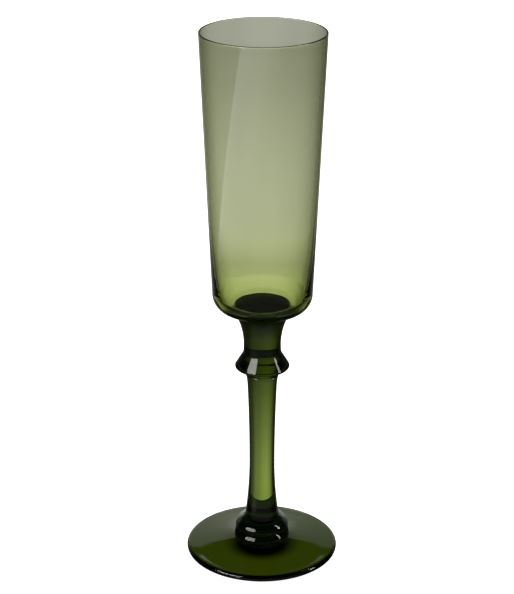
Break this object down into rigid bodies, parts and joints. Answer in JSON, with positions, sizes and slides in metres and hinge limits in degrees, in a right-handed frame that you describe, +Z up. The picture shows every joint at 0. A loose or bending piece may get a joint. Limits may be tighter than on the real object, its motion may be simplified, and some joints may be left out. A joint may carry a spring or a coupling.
{
  "type": "champagne flute",
  "caption": "Tall tapered glass flute on a waisted stem with a flared collar, a beaded base and a round foot.",
  "frame": {"origin": "centre of the foot's underside, on the surface that the glass stands on", "axes": "+Z up along the axis that every piece is turned about; X and Y level"},
  "size_m": [0.0694, 0.0694, 0.245],
  "materials": {
    "bowl_glass": "clear olive green glass, polished",
    "stem_glass": "clear olive green glass, polished, deep in colour where it is thick",
    "foot_glass": "clear olive green glass, polished"
  },
  "bodies": {
    "root": {"bowl": "bowl_glass", "neck": "stem_glass", "collar": "stem_glass", "stem": "stem_glass", "upper_bead": "stem_glass", "lower_bead": "stem_glass", "foot": "foot_glass"}
  },
  "joints": []
}
